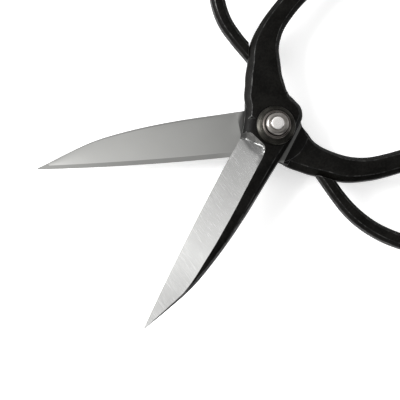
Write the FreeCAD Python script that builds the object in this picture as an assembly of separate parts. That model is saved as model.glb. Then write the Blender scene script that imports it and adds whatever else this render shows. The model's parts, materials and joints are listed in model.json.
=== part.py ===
"""Forged flower shears with butterfly finger loops: two halves, a pivot rivet and turned washers.

One half is drawn shut, in the half frame: the pivot axis is Z, the mating face is Z = 0 with the
metal below it, the tip is at +X, and the cutting edge and the finger loop are at +Y. The lower half
stands like that, and the upper half is turned over about X. They are hand forged and differ a little
beside the neck and at the end of the tail.
"""
import FreeCAD, Part
import math
import os

from FreeCAD import Vector

# --- driving dimensions, in millimetres and degrees --------------------------------------------------
OPEN_ANGLE = 46.0             # angle between the blades at rest
MAX_OPEN_ANGLE = 52.0         # angle at which a spine meets the other half's shoulder

BLADE_LENGTH = 73.0           # pivot axis to the tip
SPINE_OFFSET = 7.5            # pivot line to the spine where the blade is widest
EDGE_OFFSET = 6.9             # pivot line to the cutting edge at its pivot end
EDGE_BULGE = 0.7              # how far the cutting edge bows out of a straight line
EDGE_THICKNESS = 0.18         # thickness left along the cutting edge
TIP_THICKNESS = 1.5
TIP_WIDTH = 0.5
PLATE_THICKNESS = 4.0         # thickness of each half at the pivot
PLATE_CHAMFER = 1.2
BEVEL_START = 7.0             # pivot axis to the pivot end of the ground bevel
BEVEL_RUN_OUT = 3.6           # length of the ramp at that end
EDGE_SETBACK = 1.4            # pivot end of the bevel to the start of the cutting edge
HOLLOW_DEPTH = 0.14           # hollow ground into the mating face
HOLLOW_WIDTH = 9.0
HOLLOW_START = 4.0            # start of the cutting edge to the hollow
EDGE_LAND = 1.1               # flat land between the hollow and the cutting edge
SHOULDER_OFFSET = 7.45        # pivot axis to the shoulder behind the ground land
LAND_RADIUS = 10.9            # ground land round the pivot

HANDLE_LENGTH = 104.6         # pivot axis to the middle of the bar at the back of the loop
LOOP_OFFSET = 48.4            # parting line to the middle of the bar at the side of the loop
BULGE_OFFSET = 17.6           # parting line to the middle of the bar where it bows out
HEEL_GAP = 0.3                # gap between the two heels when the shears are shut
TAIL_GAP = 0.4                # gap between the bent-back tail and the bar beside it
ROOT_WIDTH = 12.6             # width of the neck where it leaves the plate
BAR_WIDTH = 6.8
HEEL_WIDTH = 6.0
REAR_WIDTH = 5.4
TAIL_WIDTH = 4.1
BAR_HEIGHT = 5.6
TAIL_HEIGHT = 4.6
BAR_CHAMFER = 1.35            # flats forged on the bar's corners
TAIL_CHAMFER = 0.95           # the same on the drawn-out tail

PARTING_GAP = 0.05            # running gap between the two mating faces
WASHER_GAP = 0.03             # running gap under each base washer
RIVET_RADIUS = 1.95
RIVET_CLEARANCE = 0.05        # radial clearance of the rivet in the plates and washers
RIVET_PROUD = 0.35            # length of rivet that stands out of each domed washer
RIVET_CHAMFER = 0.2
BASE_WASHER_RADIUS = 6.0
BASE_WASHER_THICKNESS = 1.4
STEP_WASHER_RADIUS = 4.35
STEP_WASHER_THICKNESS = 1.0
DOME_WASHER_RADIUS = 3.5
DOME_WASHER_THICKNESS = 1.7
DOME_FACE_RADIUS = 2.45       # flat ring round the rivet's end
DOME_BULGE = 0.25             # how far the dome stands out of a straight cone
WASHER_CHAMFER = 0.3

# --- worked out from them ----------------------------------------------------------------------------
STACK_HEIGHT = BASE_WASHER_THICKNESS + STEP_WASHER_THICKNESS + DOME_WASHER_THICKNESS + RIVET_PROUD
MATING_LEVEL = -PARTING_GAP / 2
OUTER_LEVEL = MATING_LEVEL - PLATE_THICKNESS
PARTING_HEIGHT = STACK_HEIGHT + WASHER_GAP - OUTER_LEVEL
HEEL_OFFSET = HEEL_WIDTH / 2 + HEEL_GAP / 2
SPARE = 0.4                   # metal on the raw plate that the grinding takes off
FAR = 200.0                   # size of the blocks that cut everything beyond a face


def flat_points(pairs, level):
    """Points at one level from pairs of X and Y."""
    return [Vector(x, y, level) for x, y in pairs]


def smooth_curve(points):
    """A smooth curve through the points."""
    curve = Part.BSplineCurve()
    curve.interpolate(points)
    return curve


def blade_thickness(x):
    """Thickness of the blade's back at a distance from the pivot."""
    share = min(max((x - BEVEL_START) / (BLADE_LENGTH - BEVEL_START), 0.0), 1.0)
    return PLATE_THICKNESS + (TIP_THICKNESS - PLATE_THICKNESS) * share


def edge_start():
    """The pivot end of the cutting edge, in plan."""
    return BEVEL_START + EDGE_SETBACK, EDGE_OFFSET


def edge_y(x):
    """Offset of the cutting edge from the pivot line at a distance from the pivot."""
    start, offset = edge_start()
    share = (x - start) / (BLADE_LENGTH - start)
    return offset * (1 - share) + 4 * EDGE_BULGE * share * (1 - share)


# --- the plate and blade -----------------------------------------------------------------------------
# The spine's points are shares of BLADE_LENGTH and SPINE_OFFSET.
SPINE_SHAPE = [(0.068, 0.907), (0.233, 0.960), (0.397, 1.000), (0.603, 0.933), (0.753, 0.760), (0.890, 0.400)]
PLATE_SIDE = [(4.0, 8.4), (1.1, 9.8), (-2.0, 11.7)]
LUG_END = (-4.4, -6.05)
# What differs between the halves: the plate's ear behind the pivot, the middle of the lug's arc, the
# extra width of the neck on its inner side, and how far along the bar the tail ends.
LOWER = {"ear": [(-9.6, 2.8), (-8.9, 0.9), (-8.7, -1.5), (-8.2, -4.0)], "lug": (-6.9, -5.7),
         "neck_growth": 0.0, "tail_shift": 0.0}
UPPER = {"ear": [(-11.9, 2.6), (-11.2, 0.6), (-10.7, -1.4), (-10.2, -3.0), (-9.2, -4.4)],
         "lug": (-7.2, -5.55), "neck_growth": 1.8, "tail_shift": 3.0}
# The ridge between the forged back and the ground bevel: distance from the pivot as a share of
# BLADE_LENGTH, and width of the forged back as a share of SPINE_OFFSET.
RIDGE_SHAPE = [(0.145, 0.68), (0.310, 0.59), (0.483, 0.46), (0.644, 0.31), (0.790, 0.12)]


def spine_curve(level):
    """The back of the blade, from the lug to the tip."""
    pairs = [LUG_END]
    pairs += [(x * BLADE_LENGTH, -y * SPINE_OFFSET) for x, y in SPINE_SHAPE]
    pairs.append((BLADE_LENGTH, -TIP_WIDTH))
    return smooth_curve(flat_points(pairs, level))


def spine_y(x):
    """Offset of the spine at a distance from the pivot."""
    across = Part.LineSegment(Vector(x, -2 * SPINE_OFFSET, 0), Vector(x, 2 * SPINE_OFFSET, 0))
    return spine_curve(0).intersectCC(across)[0].Y


def corner_wedge(start, end, level, size):
    """The metal that a chamfer takes off the lower corner that runs from start to end."""
    along = (end - start).normalize()
    inward = Vector(-along.y, along.x, 0)
    reach = size * 2
    first = start - along * size
    foot = Vector(first.x, first.y, level)
    profile = Part.makePolygon([foot + inward * size, foot + inward * (size - reach) + Vector(0, 0, reach),
                                foot - inward * reach - Vector(0, 0, reach), foot + inward * size])
    return Part.Face(profile).extrude(along * ((end - start).Length + 2 * size))


def raw_plate(half):
    """Plate and blade of a half as one slab, thicker than they end up, with chamfered outer corners."""
    level = OUTER_LEVEL - SPARE
    start = edge_start()
    middle_x = (start[0] + BLADE_LENGTH) / 2
    edge = Part.Arc(*flat_points([(BLADE_LENGTH, 0), (middle_x, edge_y(middle_x)), start], level))
    side = flat_points([start] + PLATE_SIDE + half["ear"], level)
    lug = Part.Arc(side[-1], *flat_points([half["lug"], LUG_END], level))
    edges = [edge.toShape()]
    edges += [Part.LineSegment(a, b).toShape() for a, b in zip(side, side[1:])]
    edges += [lug.toShape(), spine_curve(level).toShape()]
    tip = flat_points([(BLADE_LENGTH, -TIP_WIDTH), (BLADE_LENGTH, 0)], level)
    edges.append(Part.LineSegment(*tip).toShape())
    slab = Part.Face(Part.Wire(edges)).extrude(Vector(0, 0, MATING_LEVEL + SPARE - level))
    corners = side + flat_points([half["lug"], LUG_END], level)
    for a, b in zip(corners, corners[1:]):
        slab = slab.cut(corner_wedge(a, b, level, PLATE_CHAMFER + SPARE))
    return slab


def bevel_slope(x):
    """Slope of the ground bevel at a distance from the pivot: depth lost per width."""
    shares = [share for share, _ in RIDGE_SHAPE]
    share = min(max(x / BLADE_LENGTH, shares[0]), shares[-1])
    index = max(i for i, value in enumerate(shares[:-1]) if value <= share)
    (x0, w0), (x1, w1) = RIDGE_SHAPE[index], RIDGE_SHAPE[index + 1]
    back = (w0 + (w1 - w0) * (share - x0) / (x1 - x0)) * SPINE_OFFSET
    at = share * BLADE_LENGTH
    return (blade_thickness(at) - EDGE_THICKNESS) / (edge_y(at) - spine_y(at) - back)


def bevel_section(x, full):
    """Outline of the metal ground away across the blade, or of none if it isn't full."""
    near, back = EDGE_OFFSET + 2, -SPINE_OFFSET - 4
    slope = bevel_slope(x) if full else 0.0
    level = MATING_LEVEL - (EDGE_THICKNESS if full else blade_thickness(x))
    low = -FAR / 10
    corners = [(near, level + slope * (near - edge_y(x))), (back, level + slope * (back - edge_y(x))),
               (back, low), (near, low)]
    points = [Vector(x, y, z) for y, z in corners]
    return Part.makePolygon(points + points[:1])


def bevel_cutter():
    """The metal that grinding the bevel takes off, with a short ramp at its pivot end."""
    full = BEVEL_START + BEVEL_RUN_OUT
    ramp = Part.makeLoft([bevel_section(BEVEL_START, False), bevel_section(full, True)], True, True)
    stations = [full] + [x * BLADE_LENGTH for x, _ in RIDGE_SHAPE[1:]] + [BLADE_LENGTH + SPARE]
    main = Part.makeLoft([bevel_section(x, True) for x in stations], True, True)
    return ramp.fuse(main)


def back_taper():
    """The metal below the blade's outer face, which slopes from the plate to the tip."""
    x0, x1 = BEVEL_START, BLADE_LENGTH + SPARE
    low = -FAR / 10
    z0, z1 = MATING_LEVEL - blade_thickness(x0), MATING_LEVEL - blade_thickness(x1)
    profile = Part.makePolygon([Vector(x0, -FAR, z0), Vector(x1, -FAR, z1), Vector(x1, -FAR, low),
                                Vector(x0, -FAR, low), Vector(x0, -FAR, z0)])
    return Part.Face(profile).extrude(Vector(0, 2 * FAR, 0))


def hollow_cutter():
    """The shallow hollow of the mating face, along the cutting edge with a land beside it."""
    half = HOLLOW_WIDTH / 2
    radius = (half ** 2 + HOLLOW_DEPTH ** 2) / (2 * HOLLOW_DEPTH)
    x0, y0 = edge_start()
    heading = Vector(BLADE_LENGTH - x0, -y0, 0).normalize()
    inward = Vector(heading.y, -heading.x, 0)
    start = Vector(x0, y0, 0) + inward * (half + EDGE_LAND) + heading * HOLLOW_START
    start.z = MATING_LEVEL - HOLLOW_DEPTH + radius
    return Part.makeCylinder(radius, BLADE_LENGTH, start, heading)


def ground_land():
    """Everything above the mating face that the other half's plate passes over."""
    angle = math.radians(MAX_OPEN_ANGLE)
    heading = Vector(math.cos(angle), math.sin(angle), 0)
    across = Vector(-heading.y, heading.x, 0)
    corner = across * SHOULDER_OFFSET - heading * FAR
    corner.z = MATING_LEVEL
    block = Part.makeBox(2 * FAR, FAR, FAR, Vector(0, -FAR, 0))
    block.rotate(Vector(0, 0, 0), Vector(0, 0, 1), MAX_OPEN_ANGLE)
    block.translate(corner)
    disc = Part.makeCylinder(LAND_RADIUS, FAR, Vector(0, 0, MATING_LEVEL))
    return block.fuse(disc)


# --- the handle --------------------------------------------------------------------------------------
# Middle of the neck: X, Y, how far its width has come from ROOT_WIDTH to BAR_WIDTH, how far its levels
# have come from the plate's to the bar's, and the share of the half's neck growth that it gets.
NECK = [(-3.5, 4.0, 0.00, 0.00, 0.50), (-5.9, 7.7, 0.06, 0.02, 0.70), (-8.35, 10.1, 0.38, 0.10, 1.00),
        (-10.8, 11.95, 0.55, 0.24, 1.00), (-13.5, 13.5, 0.69, 0.42, 0.95), (-19.0, 16.3, 0.79, 0.76, 0.55),
        (-26.0, BULGE_OFFSET, 0.95, 0.96, 0.20), (-33.0, BULGE_OFFSET - 0.2, 1.00, 1.00, 0.00)]
NECK_INWARD = (-0.62, -0.78)  # direction from the neck towards the other handle
# Middle of the bar round the loop: shares of HANDLE_LENGTH and LOOP_OFFSET.
RUN_IN = [(-0.430, 0.318), (-0.530, 0.235), (-0.640, 0.140)]
HEEL = -0.765
REAR = [(-0.880, 0.118), (-0.965, 0.270), (-1.000, 0.490), (-0.972, 0.720), (-0.885, 0.890)]
SIDE = [(-0.770, 0.972), (-0.650, 1.000), (-0.530, 0.990), (-0.420, 0.945)]
# Middle of the tail: X, Y and the share of the half's tail shift, back to the bar beside the neck.
TAIL = [(-31.5, 41.2, 0.0), (-23.6, 35.7, 0.15), (-18.3, 29.6, 0.45), (-15.2, 24.0, 0.80)]
TAIL_SEAT = 4                 # the point of NECK beside which the tail ends
TAIL_WAY = (-0.883, 0.469)    # direction of the bar there


def handle_stations(half):
    """Middle, width, levels above and below the mating face, and chamfer, round the handle of a half."""
    top = BAR_HEIGHT / 2
    low, high = -PLATE_THICKNESS - SPARE / 2, SPARE / 4
    rows = []
    for x, y, narrowed, lifted, grown in NECK:
        extra = half["neck_growth"] * grown
        width = ROOT_WIDTH + (BAR_WIDTH - ROOT_WIDTH) * narrowed + extra
        rows.append((x + NECK_INWARD[0] * extra / 2, y + NECK_INWARD[1] * extra / 2, width,
                     low + (-top - low) * lifted, high + (top - high) * lifted, BAR_CHAMFER))
    for step, (x, y) in enumerate(RUN_IN, 1):
        width = BAR_WIDTH + (HEEL_WIDTH - BAR_WIDTH) * step / (len(RUN_IN) + 1)
        rows.append((x * HANDLE_LENGTH, y * LOOP_OFFSET, width, -top, top, BAR_CHAMFER))
    rows.append((HEEL * HANDLE_LENGTH, HEEL_OFFSET, HEEL_WIDTH, -top, top, BAR_CHAMFER))
    for step, (x, y) in enumerate(REAR, 1):
        width = HEEL_WIDTH + (REAR_WIDTH - HEEL_WIDTH) * step / len(REAR)
        rows.append((x * HANDLE_LENGTH, y * LOOP_OFFSET, width, -top, top, BAR_CHAMFER))
    drawn = [(x * HANDLE_LENGTH, y * LOOP_OFFSET) for x, y in SIDE]
    drawn += [(x + TAIL_WAY[0] * half["tail_shift"] * share, y + TAIL_WAY[1] * half["tail_shift"] * share)
              for x, y, share in TAIL]
    for step, (x, y) in enumerate(drawn, 1):
        share = step / len(drawn)
        width = REAR_WIDTH + (TAIL_WIDTH - REAR_WIDTH) * share
        height = top + (TAIL_HEIGHT / 2 - top) * share
        chamfer = BAR_CHAMFER + (TAIL_CHAMFER - BAR_CHAMFER) * share
        rows.append((x, y, width, -height, height, chamfer))
    return rows


def bar_section(middle, across, width, low, high, chamfer):
    """Eight-sided section of the bar, standing across its path."""
    w, c = width / 2, chamfer
    outline = [(w, low + c), (w, high - c), (w - c, high), (c - w, high),
               (-w, high - c), (-w, low + c), (c - w, low), (w - c, low)]
    points = [middle + across * out + Vector(0, 0, up) for out, up in outline]
    return Part.makePolygon(points + points[:1])


def handle(half):
    """Neck, bar and finger loop of a half, forged from one bar and bent round."""
    stations = handle_stations(half)
    points = [Vector(row[0], row[1], 0) for row in stations]
    points.append(tail_end(points, stations[TAIL_SEAT][2], half["tail_shift"]))
    route = smooth_curve(points)
    sections = []
    for point, (_, _, width, low, high, chamfer) in zip(points, stations):
        along = route.tangent(route.parameter(point))[0]
        across = Vector(along.y, -along.x, 0)
        sections.append(bar_section(point, across, width, low, high, chamfer))
    sections.append(tail_end_section(route, points))
    return Part.makeLoft(sections, True, False)


def tail_end(points, bar_width, shift):
    """The middle of the tail's end, a gap away from the side of the bar and shifted along it."""
    beside = (points[TAIL_SEAT - 1] + points[TAIL_SEAT + 1]) * 0.5
    along = (points[TAIL_SEAT + 1] - points[TAIL_SEAT - 1]).normalize()
    outward = Vector(along.y, -along.x, 0)
    return beside + along * shift + outward * (bar_width / 2 + TAIL_GAP)


def tail_end_section(route, points):
    """The tail's end, cut along the side of the bar that it lies against."""
    end = points[-1]
    bar_way = route.tangent(route.parameter(points[TAIL_SEAT]))[0]
    tail_way = route.tangent(route.parameter(end))[0]
    square = abs(bar_way.x * tail_way.y - bar_way.y * tail_way.x)
    half = TAIL_HEIGHT / 2
    return bar_section(end, bar_way, TAIL_WIDTH / square, -half, half, TAIL_CHAMFER)


# --- the two halves ----------------------------------------------------------------------------------
def forging(half):
    """One half in the half frame, ground and bored."""
    body = raw_plate(half).fuse(handle(half))
    below = Part.makeBox(2 * FAR, 2 * FAR, FAR, Vector(-FAR, -FAR, OUTER_LEVEL - FAR))
    hole = Part.makeCylinder(RIVET_RADIUS + RIVET_CLEARANCE, FAR, Vector(0, 0, -FAR / 2))
    for cutter in (below, ground_land(), back_taper(), bevel_cutter(), hollow_cutter(), hole):
        body = body.cut(cutter)
    return body


def placed(shape, turn):
    """The shape turned about the pivot and lifted to the parting height."""
    copy = shape.copy()
    copy.rotate(Vector(0, 0, 0), Vector(0, 0, 1), turn)
    copy.translate(Vector(0, 0, PARTING_HEIGHT))
    return copy


# --- the pivot ---------------------------------------------------------------------------------------
def turned(profile):
    """A turned piece from its outline, given as radius and height."""
    points = [Vector(r, 0, z) for r, z in profile]
    face = Part.Face(Part.makePolygon(points + points[:1]))
    return face.revolve(Vector(0, 0, 0), Vector(0, 0, 1), 360)


def flat_washer(radius, thickness):
    """A washer whose outer corner is chamfered, standing on Z = 0."""
    bore = RIVET_RADIUS + RIVET_CLEARANCE
    return turned([(bore, 0), (radius, 0), (radius, thickness - WASHER_CHAMFER),
                   (radius - WASHER_CHAMFER, thickness), (bore, thickness)])


def dome_washer():
    """The collar round the rivet's end, domed down from a flat ring, standing on Z = 0."""
    bore = RIVET_RADIUS + RIVET_CLEARANCE
    foot = DOME_WASHER_THICKNESS / 3
    corner = Vector(DOME_WASHER_RADIUS, 0, foot)
    brow = Vector(DOME_FACE_RADIUS, 0, DOME_WASHER_THICKNESS)
    middle = (corner + brow) * 0.5 + Vector(1, 0, 1).normalize() * DOME_BULGE
    straight = [brow, Vector(bore, 0, DOME_WASHER_THICKNESS), Vector(bore, 0, 0),
                Vector(DOME_WASHER_RADIUS, 0, 0), corner]
    edges = [Part.LineSegment(a, b).toShape() for a, b in zip(straight, straight[1:])]
    edges.append(Part.Arc(corner, middle, brow).toShape())
    return Part.Face(Part.Wire(edges)).revolve(Vector(0, 0, 0), Vector(0, 0, 1), 360)


def washer_stack():
    """The three washers of one side, from the plate outwards, standing on Z = 0."""
    base = flat_washer(BASE_WASHER_RADIUS, BASE_WASHER_THICKNESS)
    step = flat_washer(STEP_WASHER_RADIUS, STEP_WASHER_THICKNESS)
    dome = dome_washer()
    step.translate(Vector(0, 0, BASE_WASHER_THICKNESS))
    dome.translate(Vector(0, 0, BASE_WASHER_THICKNESS + STEP_WASHER_THICKNESS))
    return {"base_washer": base, "step_washer": step, "dome_washer": dome}


def rivet():
    """The rivet, through both plates and all the washers."""
    length = 2 * PARTING_HEIGHT
    inner = RIVET_RADIUS - RIVET_CHAMFER
    return turned([(0, 0), (inner, 0), (RIVET_RADIUS, RIVET_CHAMFER), (RIVET_RADIUS, length - RIVET_CHAMFER),
                   (inner, length), (0, length)])


def make_nodes():
    """Every node of the shears by name, in the row frame."""
    lower, upper = forging(LOWER), forging(UPPER)
    upper.rotate(Vector(0, 0, 0), Vector(1, 0, 0), 180)
    nodes = {"lower_half": placed(lower, -OPEN_ANGLE / 2), "upper_half": placed(upper, OPEN_ANGLE / 2),
             "pivot_rivet": rivet()}
    face = -OUTER_LEVEL + WASHER_GAP
    for name, washer in washer_stack().items():
        front, back = washer.copy(), washer.copy()
        front.translate(Vector(0, 0, PARTING_HEIGHT + face))
        back.rotate(Vector(0, 0, 0), Vector(1, 0, 0), 180)
        back.translate(Vector(0, 0, PARTING_HEIGHT - face))
        nodes["front_" + name] = front
        nodes["back_" + name] = back
    return nodes


def main():
    """Write one STEP file per node."""
    os.makedirs("parts", exist_ok=True)
    for name, shape in make_nodes().items():
        print(name, "solids", len(shape.Solids), "valid", shape.isValid(), "volume", round(shape.Volume, 1))
        shape.exportStep("parts/" + name + ".step")


main()
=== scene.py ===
"""Forged flower shears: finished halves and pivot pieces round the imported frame, with light and camera."""
import json
import logging
import math
from collections.abc import Callable
from dataclasses import dataclass, field
from enum import Enum

import bmesh
import bpy
from mathutils import Matrix, Vector, noise


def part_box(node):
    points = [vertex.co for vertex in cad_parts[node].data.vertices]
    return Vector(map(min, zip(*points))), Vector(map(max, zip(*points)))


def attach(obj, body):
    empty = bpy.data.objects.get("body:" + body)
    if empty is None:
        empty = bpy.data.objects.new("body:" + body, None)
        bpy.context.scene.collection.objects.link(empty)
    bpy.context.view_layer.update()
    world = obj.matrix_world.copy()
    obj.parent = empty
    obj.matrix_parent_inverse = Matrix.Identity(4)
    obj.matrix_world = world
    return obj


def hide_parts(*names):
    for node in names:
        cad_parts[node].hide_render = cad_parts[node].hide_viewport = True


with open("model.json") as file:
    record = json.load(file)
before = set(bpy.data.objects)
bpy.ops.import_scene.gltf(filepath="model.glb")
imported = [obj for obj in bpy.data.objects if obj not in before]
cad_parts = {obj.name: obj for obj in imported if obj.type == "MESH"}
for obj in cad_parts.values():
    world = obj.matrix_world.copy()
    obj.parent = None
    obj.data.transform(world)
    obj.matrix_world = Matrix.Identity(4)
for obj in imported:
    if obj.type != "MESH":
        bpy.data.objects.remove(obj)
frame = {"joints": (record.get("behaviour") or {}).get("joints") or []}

LOG = logging.getLogger("shears")
MM = 0.001
FAR_LEVEL = 20.0
Colour = tuple[float, float, float]
Socket = bpy.types.NodeSocket
Material = bpy.types.Material
Object = bpy.types.Object
BMesh, BMEdge, BMVert = bmesh.types.BMesh, bmesh.types.BMEdge, bmesh.types.BMVert

PIVOT_POINT = Vector(frame["joints"][0]["pos_m"])
OPEN_ANGLE = -math.radians(frame["joints"][0]["range_deg"][0])
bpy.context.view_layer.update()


class Surface(Enum):
    """The surfaces of a forged half, in the order of its material slots."""

    FORGED = 0
    MATING = 1
    BEVEL = 2
    WORN = 3
    SCORCHED = 4
    EDGE_LAND = 5


class Layer(Enum):
    """Which half of the shears a forging is."""

    LOWER = "lower"
    UPPER = "upper"


# --- node helpers -------------------------------------------------------------------------------------
class NodeGraph:
    """A short way to lay out the shader nodes of one material."""

    def __init__(self, name: str) -> None:
        """Start an empty material.

        Args:
            name: the material's name.
        """
        self.material = bpy.data.materials.new(name)
        self.material.use_nodes = True
        self.tree = self.material.node_tree
        self.tree.nodes.clear()
        self.output = self.tree.nodes.new("ShaderNodeOutputMaterial")
        self.shader = self.add("ShaderNodeBsdfPrincipled")
        self.link(self.shader.outputs["BSDF"], self.output.inputs["Surface"])
        self.place = self.add("ShaderNodeTexCoord").outputs["Object"]

    def add(self, kind: str, **values: object) -> bpy.types.Node:
        """Add a node and set its attributes."""
        node = self.tree.nodes.new(kind)
        for key, value in values.items():
            setattr(node, key, value)
        return node

    def link(self, source: Socket, target: Socket) -> None:
        """Join two sockets."""
        self.tree.links.new(source, target)

    def put(self, name: str, value: Socket | float | tuple[float, ...]) -> None:
        """Give an input of the shader a value, or join a socket to it."""
        if isinstance(value, Socket):
            self.link(value, self.shader.inputs[name])
        else:
            self.shader.inputs[name].default_value = value

    def weigh(self, value: Socket, weight: float, rest: Socket) -> Socket:
        """A value times a weight, plus the rest."""
        node = self.add("ShaderNodeMath", operation="MULTIPLY_ADD")
        self.link(value, node.inputs[0])
        node.inputs[1].default_value = weight
        self.link(rest, node.inputs[2])
        return node.outputs["Value"]

    def scaled(self, scale: tuple[float, float, float]) -> Socket:
        """Object coordinates scaled, in repeats per metre along each axis."""
        node = self.add("ShaderNodeMapping", vector_type="POINT")
        node.inputs["Scale"].default_value = scale
        self.link(self.place, node.inputs["Vector"])
        return node.outputs["Vector"]

    def from_axis(self) -> Socket:
        """Distance from the pivot's axis, in metres."""
        flat = self.add("ShaderNodeVectorMath", operation="MULTIPLY")
        self.link(self.place, flat.inputs[0])
        flat.inputs[1].default_value = (1.0, 1.0, 0.0)
        length = self.add("ShaderNodeVectorMath", operation="LENGTH")
        self.link(flat.outputs["Vector"], length.inputs[0])
        return length.outputs["Value"]

    def grain(self, vector: Socket, scale: float, detail: float, rough: float = 0.5) -> Socket:
        """A noise pattern, as the socket of its value."""
        node = self.add("ShaderNodeTexNoise")
        node.inputs["Scale"].default_value = scale
        node.inputs["Detail"].default_value = detail
        node.inputs["Roughness"].default_value = rough
        self.link(vector, node.inputs["Vector"])
        return node.outputs["Fac"]

    def ramp(self, value: Socket, stops: list[tuple[float, Colour]]) -> Socket:
        """A colour ramp over a value.

        Args:
            value: the socket that is looked up.
            stops: position and colour of each stop.

        Returns:
            The colour socket.
        """
        node = self.add("ShaderNodeValToRGB")
        elements = node.color_ramp.elements
        elements[0].position, elements[-1].position = stops[0][0], stops[-1][0]
        for position, _ in stops[1:-1]:
            elements.new(position)
        for element, (_, colour) in zip(elements, stops):
            element.color = (*colour, 1.0)
        self.link(value, node.inputs["Fac"])
        return node.outputs["Color"]

    def spread(self, value: Socket, low: float, high: float,
               start: float = 0.0, end: float = 1.0) -> Socket:
        """A value mapped from start..end to low..high."""
        node = self.add("ShaderNodeMapRange")
        node.inputs["From Min"].default_value = start
        node.inputs["From Max"].default_value = end
        node.inputs["To Min"].default_value = low
        node.inputs["To Max"].default_value = high
        self.link(value, node.inputs["Value"])
        return node.outputs["Result"]

    def bump(self, height: Socket, depth: float, strength: float = 1.0,
             under: Socket | None = None) -> Socket:
        """A bump from a height value.

        Args:
            height: the height, 0 to 1.
            depth: what a height of 1 stands for, in metres.
            strength: how much of it shows.
            under: the normal that it adds to, if any.

        Returns:
            The normal socket.
        """
        node = self.add("ShaderNodeBump")
        node.inputs["Distance"].default_value = depth
        node.inputs["Strength"].default_value = strength
        self.link(height, node.inputs["Height"])
        if under is not None:
            self.link(under, node.inputs["Normal"])
        return node.outputs["Normal"]


# --- finishes -----------------------------------------------------------------------------------------
@dataclass(frozen=True)
class ForgedBlack:
    """Black fire scale as it leaves the forge: fine pitted grain and faint hammer marks."""

    name: str = "forged_black"
    dark: Colour = (0.0010, 0.0009, 0.0007)
    light: Colour = (0.0055, 0.0052, 0.0045)
    roughness: tuple[float, float] = (0.34, 0.56)

    def material(self) -> Material:
        """Build the finish as a material."""
        graph = NodeGraph(self.name)
        fine = graph.grain(graph.place, 1900.0, 3.0, 0.62)
        coarse = graph.grain(graph.place, 160.0, 4.0, 0.55)
        mixed = graph.weigh(fine, 0.62, graph.spread(coarse, -0.08, 0.38))
        graph.put("Base Color", graph.ramp(mixed, [(0.36, self.dark), (0.58, self.light), (0.80, self.dark)]))
        graph.put("Roughness", graph.spread(coarse, *self.roughness, start=0.3, end=0.7))
        graph.put("Metallic", 0.0)
        graph.put("Specular IOR Level", 0.07)
        hammer = graph.bump(graph.grain(graph.place, 130.0, 1.0), 0.00020, 0.5)
        pits = graph.bump(fine, 0.00006, 0.75, hammer)
        graph.put("Normal", pits)
        return graph.material


@dataclass(frozen=True)
class GroundSteel:
    """Steel ground on a stone: fine scratches, and a base colour set by distance from the pivot, partly
    painted light and shade.

    The stops hold distance, in metres, and level. They are fitted to brightness measured along the blade in
    one view, so they paint that view's light and shade into the colour, as well as any stain on the steel.
    """

    name: str
    tint: Colour = (1.0, 1.0, 0.97)
    # levels fitted to one view's brightness: painted light and shade, lighter towards the tip, as well as any
    # stain
    painted_light_and_stain: tuple[tuple[float, float], ...] = ((0.014, 0.32), (0.025, 0.40), (0.043, 0.51),
                                                    (0.055, 0.57), (0.070, 0.70))
    clouds: float = 0.04
    roughness: float = 0.30
    depth: float = 0.000004
    reach: float = 0.080

    def material(self) -> Material:
        """Build the finish as a material."""
        graph = NodeGraph(self.name)
        scratch = graph.grain(graph.scaled((9000.0, 260.0, 260.0)), 1.0, 3.0, 0.6)
        cloud = graph.grain(graph.place, 70.0, 3.0, 0.5)
        share = graph.spread(graph.from_axis(), -self.clouds / 2, 1.0 - self.clouds / 2, 0.0, self.reach)
        # the stops paint one view's light and shade into the base colour by distance from the pivot, along
        # with any stain
        stops = [(distance / self.reach, tuple(level * value for value in self.tint))
                 for distance, level in self.painted_light_and_stain]
        graph.put("Base Color", graph.ramp(graph.weigh(cloud, self.clouds, share), stops))
        graph.put("Metallic", 1.0)
        rough = graph.spread(cloud, self.roughness - 0.03, self.roughness + 0.03)
        graph.put("Roughness", graph.weigh(graph.spread(scratch, -0.05, 0.05, 0.3, 0.7), 1.0, rough))
        graph.put("Normal", graph.bump(scratch, self.depth, 0.6))
        return graph.material


@dataclass(frozen=True)
class WornEdge:
    """Corners where the scale has rubbed through to grey metal."""

    name: str = "worn_corner"
    bare: Colour = (0.060, 0.060, 0.058)
    scale: Colour = (0.005, 0.005, 0.005)

    def material(self) -> Material:
        """Build the finish as a material."""
        graph = NodeGraph(self.name)
        patches = graph.grain(graph.place, 420.0, 5.0, 0.7)
        graph.put("Base Color", graph.ramp(patches, [(0.46, self.scale), (0.64, self.bare)]))
        graph.put("Specular IOR Level", 0.15)
        graph.put("Metallic", graph.spread(patches, 0.1, 0.75, 0.4, 0.62))
        graph.put("Roughness", graph.spread(patches, 0.42, 0.30, 0.4, 0.62))
        graph.put("Normal", graph.bump(patches, 0.00003, 0.5))
        return graph.material


@dataclass(frozen=True)
class TurnedSteel:
    """Steel turned on a lathe: rings of fine tool marks about the pivot, browned with age."""

    name: str
    bright: Colour = (0.055, 0.053, 0.047)
    brown: Colour = (0.006, 0.0055, 0.0045)
    roughness: float = 0.30
    rings_per_metre: float = 3600.0
    grime: float = 0.5

    def material(self) -> Material:
        """Build the finish as a material."""
        graph = NodeGraph(self.name)
        rings = graph.add("ShaderNodeTexNoise", noise_dimensions="1D")
        graph.link(graph.from_axis(), rings.inputs["W"])
        rings.inputs["Scale"].default_value = self.rings_per_metre
        rings.inputs["Detail"].default_value = 3.0
        stain = graph.grain(graph.place, 330.0, 4.0, 0.6)
        amount = graph.weigh(rings.outputs["Fac"], 1.0 - self.grime, graph.spread(stain, 0.0, self.grime))
        graph.put("Base Color", graph.ramp(amount, [(0.36, self.brown), (0.62, self.bright)]))
        graph.put("Metallic", 1.0)
        rough = graph.spread(stain, self.roughness + 0.12, self.roughness - 0.06, 0.3, 0.7)
        graph.put("Roughness", rough)
        graph.put("Normal", graph.bump(rings.outputs["Fac"], 0.00003, 0.6))
        return graph.material


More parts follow.
